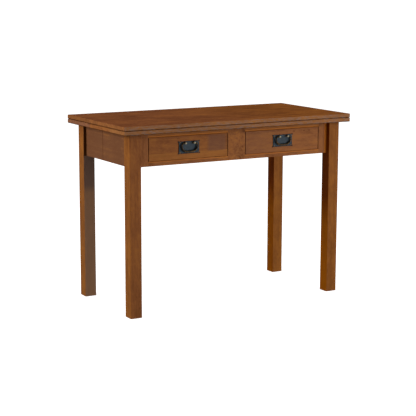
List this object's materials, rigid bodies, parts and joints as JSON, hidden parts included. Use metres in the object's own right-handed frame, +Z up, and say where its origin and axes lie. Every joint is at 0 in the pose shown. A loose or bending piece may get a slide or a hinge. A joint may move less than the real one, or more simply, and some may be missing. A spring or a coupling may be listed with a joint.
{
  "type": "extendable console table",
  "caption": "Extendable console table with drawers in its front apron, square posts, a flip-over top leaf and a base that telescopes backwards on wooden slides.",
  "frame": {"origin": "on the floor under the middle of the closed top", "axes": "+X to the table's right along its width, +Y to the back, the way the rear frame extends, +Z up; the drawers open towards -Y"},
  "size_m": [1.016, 0.508, 0.737],
  "materials": {
    "stained_wood": "reddish-brown stain under a satin lacquer",
    "slide_wood": "plain sanded hardwood",
    "drawer_wood": "pale sealed hardwood",
    "plywood": "pale sealed plywood",
    "dark_iron": "dark oil-rubbed metal with worn highlights",
    "aged_brass": "aged brass",
    "hinge_brass": "satin brass",
    "steel": "plain steel",
    "felt": "brown felt",
    "glide_nylon": "brown nylon"
  },
  "bodies": {
    "front_frame": {"bottom_rails": "stained_wood", "centre_runner": "slide_wood", "centre_stile": "stained_wood", "cross_rail": "slide_wood", "drawer_kickers": "slide_wood", "felt_pads": "felt", "fixed_stop_pins": "steel", "front_glides": "glide_nylon", "front_left_leg": "stained_wood", "front_right_leg": "stained_wood", "left_end_stile": "stained_wood", "left_fixed_slide": "slide_wood", "left_front_apron": "stained_wood", "lower_hinge_plates": "hinge_brass", "lower_leaf": "stained_wood", "outer_runners": "slide_wood", "right_end_stile": "stained_wood", "right_fixed_slide": "slide_wood", "right_front_apron": "stained_wood", "top_rails": "stained_wood"},
    "rear_frame": {"left_moving_slide": "slide_wood", "left_rear_apron": "stained_wood", "locating_tongues": "slide_wood", "rear_apron": "stained_wood", "rear_corner_blocks": "slide_wood", "rear_glides": "glide_nylon", "rear_left_leg": "stained_wood", "rear_right_leg": "stained_wood", "right_moving_slide": "slide_wood", "right_rear_apron": "stained_wood"},
    "left_middle_slide": {"left_middle_pin": "steel", "left_middle_slide": "slide_wood"},
    "right_middle_slide": {"right_middle_pin": "steel", "right_middle_slide": "slide_wood"},
    "hinge_links": {"hinge_links": "hinge_brass"},
    "upper_leaf": {"upper_hinge_plates": "hinge_brass", "upper_leaf": "stained_wood"},
    "left_drawer": {"left_drawer_back": "drawer_wood", "left_drawer_bottom": "plywood", "left_drawer_front": "stained_wood", "left_drawer_sides": "drawer_wood", "left_drawer_stop": "drawer_wood", "left_pull_plate": "dark_iron", "left_pull_posts": "aged_brass"},
    "right_drawer": {"right_drawer_back": "drawer_wood", "right_drawer_bottom": "plywood", "right_drawer_front": "stained_wood", "right_drawer_sides": "drawer_wood", "right_drawer_stop": "drawer_wood", "right_pull_plate": "dark_iron", "right_pull_posts": "aged_brass"},
    "left_bail": {"left_pull_bail": "dark_iron"},
    "right_bail": {"right_pull_bail": "dark_iron"}
  },
  "joints": [
    {"name": "rear_frame_extend", "type": "slide", "parent": "front_frame", "child": "rear_frame", "axis": [0, 1, 0], "range_m": [0, 0.48]},
    {"name": "left_middle_extend", "type": "slide", "parent": "front_frame", "child": "left_middle_slide", "axis": [0, 1, 0], "range_m": [0, 0.24]},
    {"name": "right_middle_extend", "type": "slide", "parent": "front_frame", "child": "right_middle_slide", "axis": [0, 1, 0], "range_m": [0, 0.24]},
    {"name": "hinge_link_turn", "type": "hinge", "parent": "front_frame", "child": "hinge_links", "pos_m": [0, 0.2508, 0.7168], "axis": [-1, 0, 0], "range_deg": [0, 90]},
    {"name": "upper_leaf_turn", "type": "hinge", "parent": "hinge_links", "child": "upper_leaf", "pos_m": [0, 0.2508, 0.7243], "axis": [-1, 0, 0], "range_deg": [0, 90]},
    {"name": "left_drawer_slide", "type": "slide", "parent": "front_frame", "child": "left_drawer", "axis": [0, -1, 0], "range_m": [0, 0.259]},
    {"name": "right_drawer_slide", "type": "slide", "parent": "front_frame", "child": "right_drawer", "axis": [0, -1, 0], "range_m": [0, 0.259]},
    {"name": "left_bail_swing", "type": "hinge", "parent": "left_drawer", "child": "left_bail", "pos_m": [-0.21295, -0.2163, 0.6576], "axis": [-1, 0, 0], "range_deg": [0, 90]},
    {"name": "right_bail_swing", "type": "hinge", "parent": "right_drawer", "child": "right_bail", "pos_m": [0.21295, -0.2163, 0.6576], "axis": [-1, 0, 0], "range_deg": [0, 90]}
  ],
  "couplings": [
    {"joint": "left_middle_extend", "follows": "rear_frame_extend", "ratio": 0.5},
    {"joint": "right_middle_extend", "follows": "rear_frame_extend", "ratio": 0.5}
  ]
}
